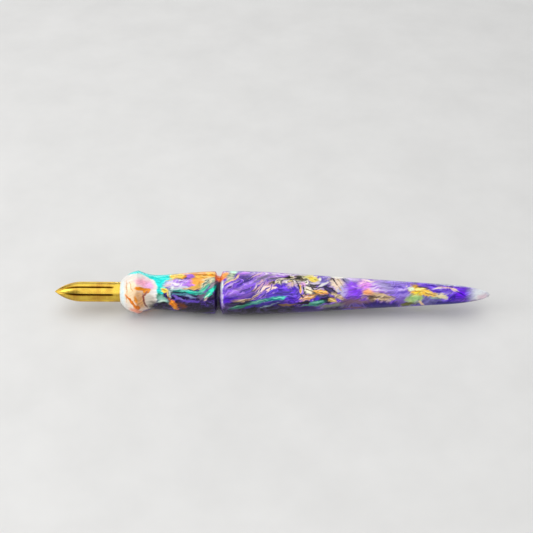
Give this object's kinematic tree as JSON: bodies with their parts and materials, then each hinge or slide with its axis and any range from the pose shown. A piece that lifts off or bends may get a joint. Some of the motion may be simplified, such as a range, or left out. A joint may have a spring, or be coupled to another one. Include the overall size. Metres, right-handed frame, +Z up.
{
  "type": "dip pen",
  "caption": "Dip pen with a pointed fluted brass nib and a marbled resin handle: flared finger lip, waisted grip, groove, and a long tapered barrel.",
  "frame": {"origin": "under the middle of the pen's length, on the surface that it lies on", "axes": "+X along the pen from the nib's tip to the barrel's end, +Z up"},
  "size_m": [0.14, 0.014, 0.014],
  "materials": {
    "gold_brass": "satin polished, with fine turning marks",
    "turned_brass": "machined",
    "black_rubber": "matt",
    "grip_resin": "high gloss, marbled in white, turquoise, lilac, gold and indigo",
    "barrel_resin": "high gloss, marbled in violet, turquoise, pink, gold and black"
  },
  "bodies": {
    "grip_half": {"grip": "grip_resin", "nib_socket": "turned_brass", "nib_o_ring": "black_rubber", "joint_stud": "turned_brass"},
    "nib": {"nib": "gold_brass"},
    "joint_ring": {"joint_o_ring": "black_rubber"},
    "barrel_half": {"barrel": "barrel_resin", "barrel_insert": "turned_brass"}
  },
  "joints": [
    {"name": "nib_pull", "type": "slide", "parent": "grip_half", "child": "nib", "axis": [-1, 0, 0], "range_m": [0, 0.016]},
    {"name": "barrel_draw", "type": "slide", "parent": "grip_half", "child": "joint_ring", "axis": [1, 0, 0], "range_m": [0, 0.0095]},
    {"name": "barrel_turn", "type": "hinge", "parent": "joint_ring", "child": "barrel_half", "pos_m": [-0.0165, 0, 0.007], "axis": [1, 0, 0], "range_deg": [0, 3420]}
  ],
  "couplings": [
    {"joint": "barrel_draw", "follows": "barrel_turn", "m_per_rad": 0.00015915}
  ]
}
